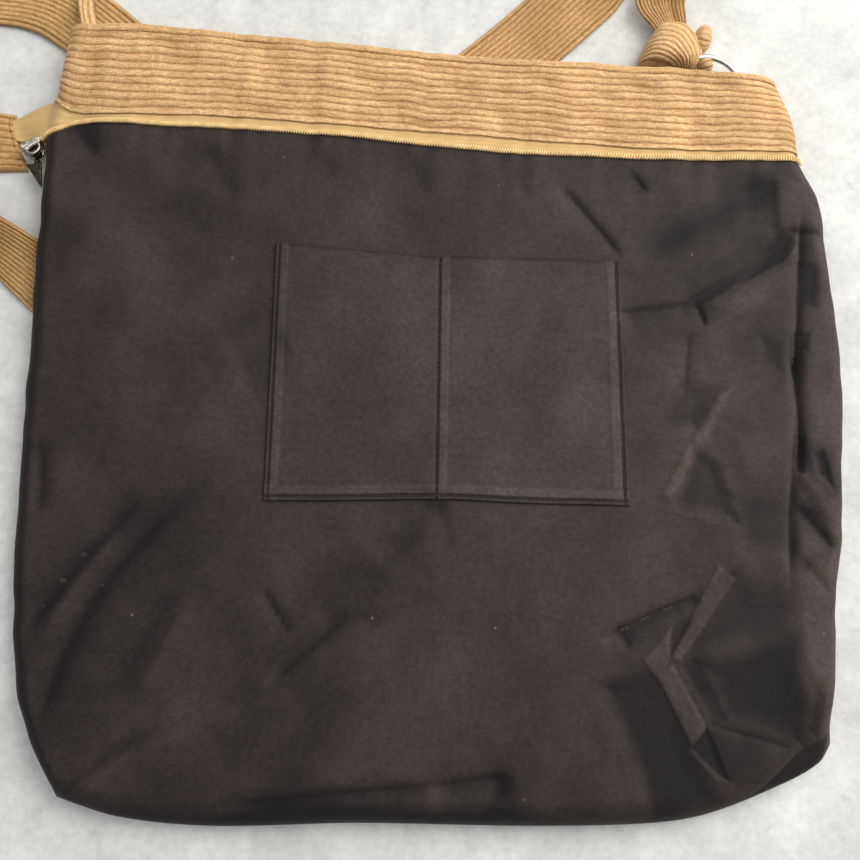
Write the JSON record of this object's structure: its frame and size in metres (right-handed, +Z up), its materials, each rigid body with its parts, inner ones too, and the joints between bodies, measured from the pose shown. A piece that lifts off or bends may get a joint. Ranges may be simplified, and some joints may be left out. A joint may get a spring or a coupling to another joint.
{
  "type": "corduroy tote bag",
  "caption": "Soft corduroy tote bag turned inside out and lying flat: dark lining with slip pocket, ribbed mouth band, open zip, knotted shoulder strap on a ring.",
  "frame": {"origin": "on the underside of the panel that lies on the floor, near the middle of the bag", "axes": "+X to the right of the lying bag, +Y from the bottom towards the mouth, +Z up from the floor"},
  "size_m": [0.5202, 0.4651, 0.0343],
  "materials": {
    "lining": "matt brushed cotton, dark brown-black",
    "pocket_cloth": "matt brushed cotton, a little lighter than the lining",
    "corduroy": "wide-wale camel corduroy with soft pile",
    "zip_tape": "smooth woven mustard tape",
    "zip_coil": "satin nylon coil",
    "slider_metal": "antique nickel",
    "puller_metal": "dark antique metal",
    "ring_steel": "polished steel"
  },
  "bodies": {
    "bag": {"lining_front": "lining", "lining_back": "lining", "facing_front": "corduroy", "facing_back": "corduroy", "shell_front": "corduroy", "shell_back": "corduroy", "zip_tape_front": "zip_tape", "zip_tape_back": "zip_tape", "zip_coil_front": "zip_coil", "zip_coil_back": "zip_coil", "zip_end_tab": "corduroy", "zip_slider": "slider_metal", "pocket": "pocket_cloth", "strap": "corduroy", "strap_knot": "corduroy", "ring": "ring_steel", "ring_loop": "corduroy", "mouth_loop": "corduroy"},
    "puller": {"zip_puller": "puller_metal"}
  },
  "joints": [
    {"name": "puller_swing", "type": "hinge", "parent": "bag", "child": "puller", "pos_m": [-0.20961, 0.1359, 0.0081], "axis": [0, 0, 1], "range_deg": [-65, 0]}
  ]
}
